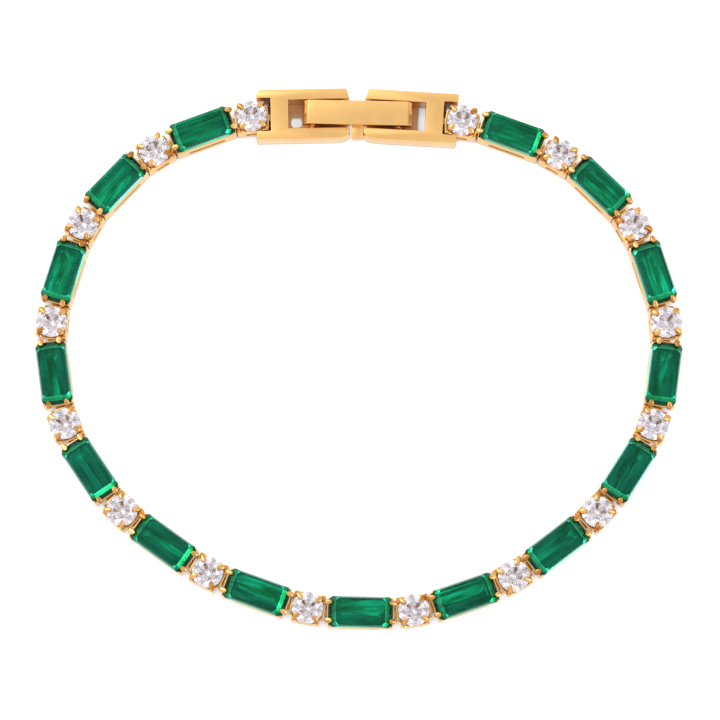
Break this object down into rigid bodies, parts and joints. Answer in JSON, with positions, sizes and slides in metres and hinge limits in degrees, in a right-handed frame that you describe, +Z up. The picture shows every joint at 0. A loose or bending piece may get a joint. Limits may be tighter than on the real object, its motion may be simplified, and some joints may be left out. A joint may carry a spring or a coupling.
{
  "type": "tennis bracelet",
  "caption": "Closed gold bracelet of hinged stone settings, long green stones alternating with round clear ones, with a fold-over clasp.",
  "frame": {"origin": "middle of the underside of the bracelet's box, on the surface that it lies on", "axes": "+X along the clasp and the loop's longer side, +Y from the front towards the clasp, +Z up"},
  "size_m": [0.061, 0.0514, 0.0031],
  "materials": {
    "gold": "polished yellow gold, finely brushed on top of the clasp",
    "green_stone": "polished deep green gemstone",
    "clear_stone": "polished clear gemstone"
  },
  "bodies": {
    "bracelet": {"brilliant_link_01": "gold", "brilliant_link_02": "gold", "brilliant_link_03": "gold", "brilliant_link_04": "gold", "brilliant_link_05": "gold", "brilliant_link_06": "gold", "brilliant_link_07": "gold", "brilliant_link_08": "gold", "brilliant_link_09": "gold", "brilliant_link_10": "gold", "brilliant_link_11": "gold", "brilliant_link_12": "gold", "brilliant_link_13": "gold", "brilliant_link_14": "gold", "brilliant_link_15": "gold", "brilliant_link_16": "gold", "setting_01": "gold", "setting_02": "gold", "setting_03": "gold", "setting_04": "gold", "setting_05": "gold", "setting_06": "gold", "setting_07": "gold", "setting_08": "gold", "setting_09": "gold", "setting_10": "gold", "setting_11": "gold", "setting_12": "gold", "setting_13": "gold", "setting_14": "gold", "setting_15": "gold", "baguette_01": "green_stone", "baguette_02": "green_stone", "baguette_03": "green_stone", "baguette_04": "green_stone", "baguette_05": "green_stone", "baguette_06": "green_stone", "baguette_07": "green_stone", "baguette_08": "green_stone", "baguette_09": "green_stone", "baguette_10": "green_stone", "baguette_11": "green_stone", "baguette_12": "green_stone", "baguette_13": "green_stone", "baguette_14": "green_stone", "baguette_15": "green_stone", "clasp_frame_left": "gold", "clasp_frame_right": "gold"},
    "tongue": {"clasp_tongue": "gold"}
  },
  "joints": [
    {"name": "clasp_hinge", "type": "hinge", "parent": "bracelet", "child": "tongue", "pos_m": [-0.00484, 0.02326, 0.0015], "axis": [0, -1, 0], "range_deg": [0, 100]}
  ]
}
